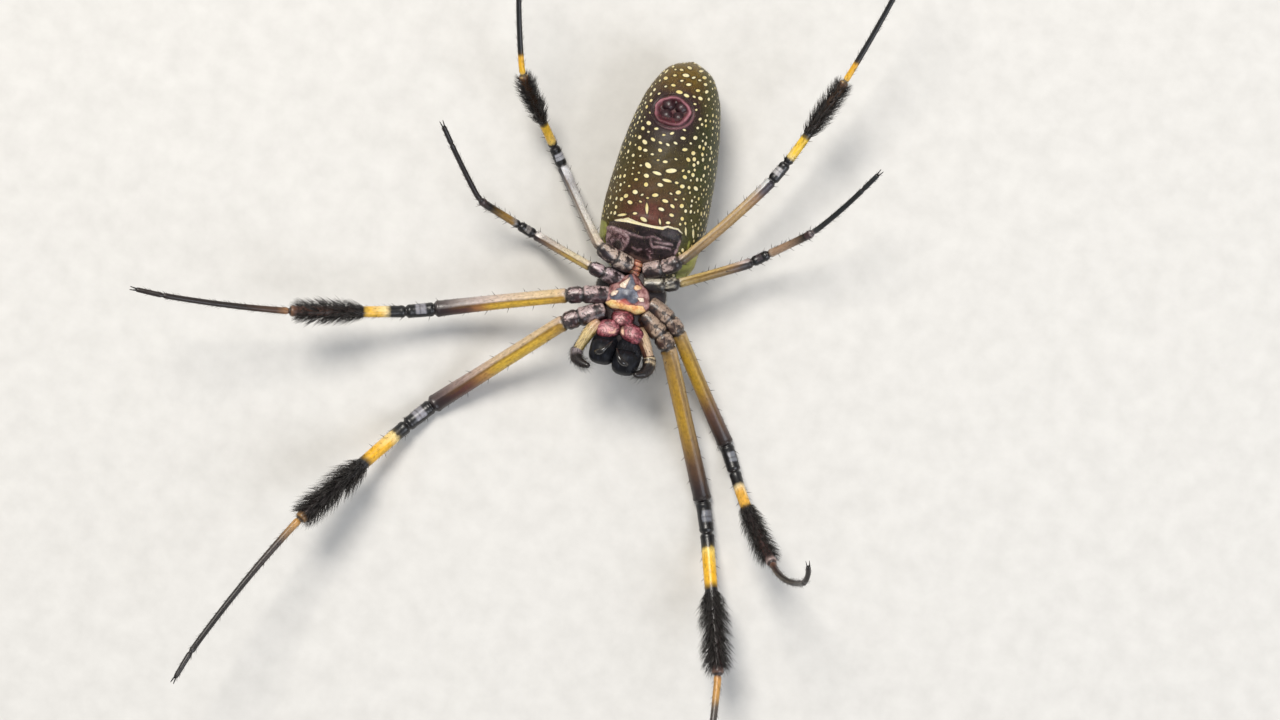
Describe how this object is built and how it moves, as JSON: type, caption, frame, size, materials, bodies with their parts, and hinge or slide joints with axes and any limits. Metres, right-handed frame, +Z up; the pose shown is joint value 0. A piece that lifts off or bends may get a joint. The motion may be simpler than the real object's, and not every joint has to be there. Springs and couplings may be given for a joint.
{
  "type": "golden silk orb weaver",
  "caption": "Life-size still model of a golden silk orb weaver lying on her back, her legs spread and her feet held up.",
  "frame": {"origin": "middle of the flat on the upper side of the abdomen, which rests on the floor", "axes": "+Z up, out of the belly; +Y along the body to the tip of the abdomen, so the head is towards -Y; +X to the animal's right"},
  "size_m": [0.0752, 0.1006, 0.0241],
  "materials": {
    "shield": "satin, with fine pale down",
    "plate": "satin",
    "mouth": "satin",
    "jaw": "polished",
    "eye": "polished",
    "waist": "satin",
    "abdomen": "soft satin, spotted",
    "spinneret": "soft satin",
    "leg_root": "satin, mottled",
    "femur": "satin",
    "tibia": "bristly",
    "foot": "satin",
    "palp": "satin"
  },
  "bodies": {
    "root": {"carapace": "shield", "sternum": "plate", "labium": "mouth", "pedicel": "waist", "maxilla_left": "mouth", "maxilla_right": "mouth", "chelicera_left": "jaw", "chelicera_right": "jaw", "fang_left": "jaw", "fang_right": "jaw", "palp_left_femur": "palp", "palp_left_tarsus": "foot", "palp_right_femur": "palp", "palp_right_tarsus": "foot", "eye_front_middle_left": "eye", "eye_rear_middle_left": "eye", "eye_front_side_left": "eye", "eye_rear_side_left": "eye", "eye_front_middle_right": "eye", "eye_rear_middle_right": "eye", "eye_front_side_right": "eye", "eye_rear_side_right": "eye", "abdomen": "abdomen", "spinneret_front_left": "spinneret", "spinneret_rear_left": "spinneret", "spinneret_front_right": "spinneret", "spinneret_rear_right": "spinneret", "leg_1_right_coxa": "leg_root", "leg_2_right_coxa": "leg_root", "leg_3_right_coxa": "leg_root", "leg_4_right_coxa": "leg_root", "leg_1_left_coxa": "leg_root", "leg_2_left_coxa": "leg_root", "leg_3_left_coxa": "leg_root", "leg_4_left_coxa": "leg_root", "leg_1_right_femur": "femur", "leg_2_right_femur": "femur", "leg_3_right_femur": "femur", "leg_4_right_femur": "femur", "leg_1_left_femur": "femur", "leg_2_left_femur": "femur", "leg_3_left_femur": "femur", "leg_4_left_femur": "femur", "leg_1_right_tibia": "tibia", "leg_2_right_tibia": "tibia", "leg_3_right_tibia": "tibia", "leg_4_right_tibia": "tibia", "leg_1_left_tibia": "tibia", "leg_2_left_tibia": "tibia", "leg_3_left_tibia": "tibia", "leg_4_left_tibia": "tibia", "leg_1_right_metatarsus": "foot", "leg_2_right_metatarsus": "foot", "leg_3_right_metatarsus": "foot", "leg_4_right_metatarsus": "foot", "leg_1_left_metatarsus": "foot", "leg_2_left_metatarsus": "foot", "leg_3_left_metatarsus": "foot", "leg_4_left_metatarsus": "foot"}
  },
  "joints": []
}
